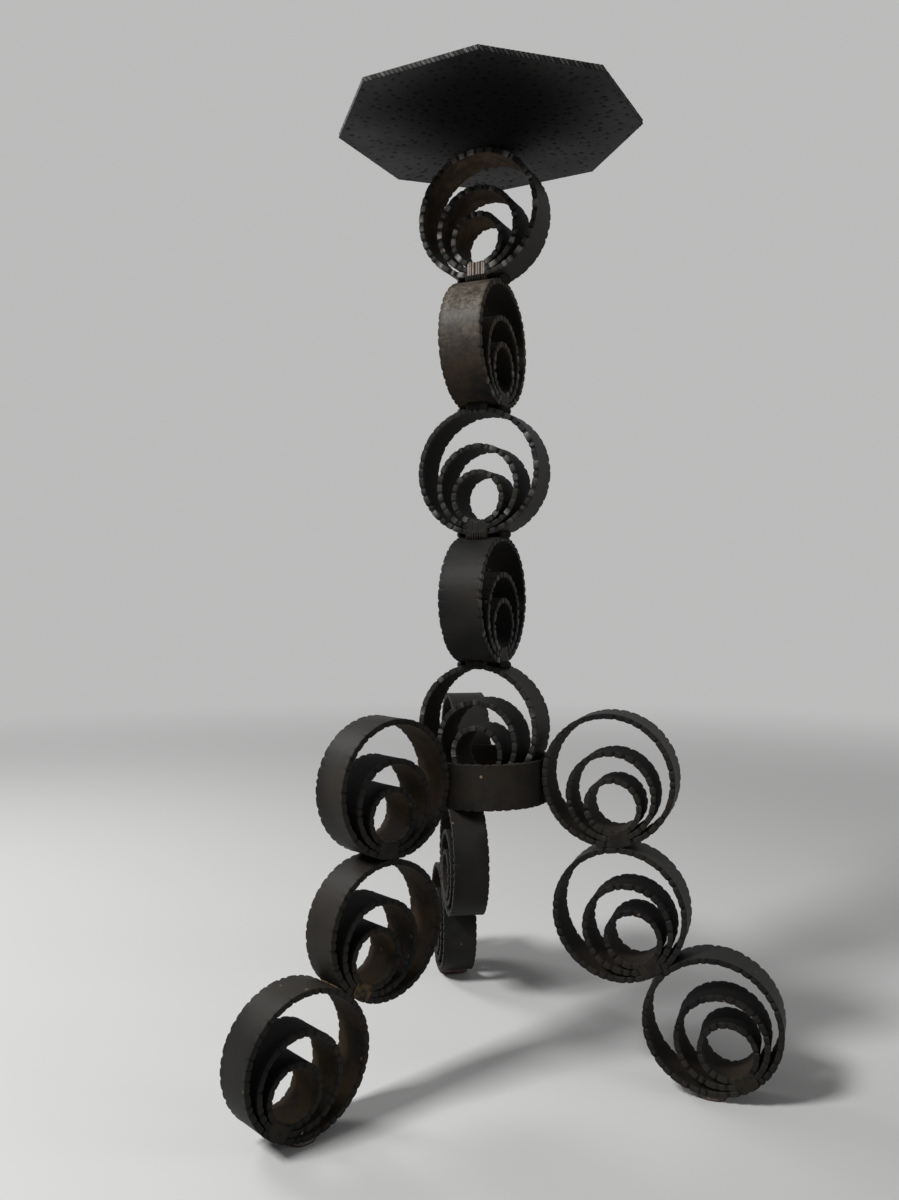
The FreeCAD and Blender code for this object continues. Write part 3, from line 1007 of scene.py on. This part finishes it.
def pale_floor():
    """Matt floor that turns into the backdrop's colour far from the stand."""
    floor = Finish("pale_floor")
    away = floor.add("ShaderNodeVectorMath", {"operation": "LENGTH"}, {0: floor.place})["Value"]
    near = floor.add("ShaderNodeBsdfPrincipled", {}, {"Base Color": FLOOR_GREY, "Roughness": 0.85})[0]
    far = floor.add("ShaderNodeEmission", {}, {"Color": BACKDROP})[0]
    backdrop = away.between(*FLOOR_FADE) * floor.seen()
    both = floor.add("ShaderNodeMixShader", {}, {0: backdrop, 1: near, 2: far})[0]
    floor.add("ShaderNodeOutputMaterial", {}, {"Surface": both})
    return floor.material


IRON = black_iron()
PLATE_IRON = hammered_iron()
WELD = weld_metal()
DARK_WELD = dark_weld()
PAD = foot_pad()

# Ring sets, and the weld patches where their rings touch, which are fresher the more the edges are polished
patches = {}
for ring_set in ring_sets():
    polish = EDGE_POLISH[ring_set.look]
    down = downward(ring_set.turn, ring_set.nest)
    across = heading(ring_set.turn)
    inset = 0.0
    for size, diameter in RING_DIAMETERS.items():
        node = f"{ring_set.name}_{size}_ring"
        centre = ring_set.centre + down * (RING_RADIUS - inset - diameter / 2)
        pale = PAINTED_SHEEN.get(ring_set.name, 0.0) if size == "outer" else 0.0
        shelter = 0.0 if size == "outer" else NESTED_SHADE[ring_set.name.split("_")[0]]
        look = (polish, RUST[ring_set.look], pale, shelter)
        sheet = ring_sheet(node, centre, across, UP, diameter / 2, ring_set.width, *look)
        settle(skin(f"{node}_bar", [sheet]), IRON, "black_iron", node)
        inset += BAR_THICKNESS + WELD_GAP
    weld_rust = WELD_RUST.get(ring_set.name, PLAIN_WELD_RUST)
    for near in (True, False):
        patch = nest_patch(ring_set, near, polish ** 4, weld_rust, dice(f"{ring_set.name}_weld_{near}"))
        patches.setdefault(ring_set.weld_node, []).append(patch)

# Hub ring
hub_centre = COLUMN_AXIS + UP * (HUB_TOP - WIDE_BAR_WIDTH / 2)
hub_size = (HUB_RADIUS, WIDE_BAR_WIDTH)
hub_sheet = ring_sheet("hub_ring", hub_centre, heading(0), heading(90), *hub_size, HUB_POLISH, HUB_RUST)
settle(skin("hub_ring_bar", [hub_sheet]), IRON, "black_iron", "hub_ring")

# Plate
settle(skin("candle_plate_dented", [plate_sheet()]), PLATE_IRON, "hammered_iron", "candle_plate")

# Welds where column rings cross, where legs meet the hub, along the legs, at the seat and under the plate
random = dice("beads")
beads = {"column_crossing_welds": [], "hub_leg_welds": []}
for number in range(1, COLUMN_SETS):
    beads["column_crossing_welds"] += crossing_beads(number, random)
for leg, azimuth in LEG_AZIMUTHS.items():
    beads["hub_leg_welds"].append(hub_leg_bead(azimuth, random))
    patches[f"{leg}_leg_welds"] += groove_beads(leg, azimuth, random)
beads["hub_seat_welds"] = seat_beads(random)
beads["plate_weld"] = plate_beads(random)
for weld_node, sheets in patches.items():
    settle(skin(f"{weld_node}_beads", sheets), WELD, "weld_metal", weld_node)
for weld_node, sheets in beads.items():
    settle(skin(f"{weld_node}_beads", sheets), DARK_WELD, "weld_metal", weld_node)

# Foot pads
for leg, azimuth in LEG_AZIMUTHS.items():
    sheet = pad_sheet(leg_centres(azimuth)[-1], azimuth)
    settle(skin(f"{leg}_foot_pad_round", [sheet]), PAD, "foot_pad", f"{leg}_foot_pad")

# Floor
floor_angle = np.linspace(0, TAU, FLOOR_SIDES, endpoint=False)
floor_ring = np.stack([np.cos(floor_angle), np.sin(floor_angle), np.zeros(FLOOR_SIDES)], -1) * FLOOR_RADIUS
floor_mesh = bpy.data.meshes.new("floor")
floor_mesh.from_pydata(floor_ring.tolist(), [], [list(range(FLOOR_SIDES))])
floor_mesh.materials.append(pale_floor())
floor = bpy.data.objects.new("floor", floor_mesh)
bpy.context.scene.collection.objects.link(floor)


def lamp(name, place, aim, size, power):
    """A square soft light that looks at a point."""
    light = bpy.data.lights.new(name, "AREA")
    light.shape = "SQUARE"
    light.size = size
    light.energy = power
    holder = bpy.data.objects.new(name, light)
    holder.location = place
    holder.rotation_euler = (Vector(aim) - Vector(place)).to_track_quat("-Z", "Y").to_euler()
    bpy.context.scene.collection.objects.link(holder)


# Lamps
for name, (place, aim, size, power) in LAMPS.items():
    lamp(name, place, aim, size, power)

# World: a pale backdrop that is seen, and a dimmer light that it gives
world = bpy.data.worlds.new("studio")
world.use_nodes = True
room = Nodes(world.node_tree)
dim = room.add("ShaderNodeBackground", {}, {"Color": ROOM_LIGHT})[0]
wall = room.add("ShaderNodeBackground", {}, {"Color": BACKDROP})[0]
both = room.add("ShaderNodeMixShader", {}, {0: room.seen(), 1: dim, 2: wall})[0]
room.add("ShaderNodeOutputWorld", {}, {"Surface": both})
bpy.context.scene.world = world

# Camera
camera = bpy.data.cameras.new("camera")
camera.lens = CAMERA_LENS
camera.sensor_width = CAMERA_SENSOR
viewer = bpy.data.objects.new("camera", camera)
viewer.location = CAMERA_PLACE
viewer.rotation_euler = Vector(CAMERA_VIEW).to_track_quat("-Z", "Y").to_euler()
bpy.context.scene.collection.objects.link(viewer)
bpy.context.scene.camera = viewer
bpy.context.scene.view_settings.view_transform = "Standard"
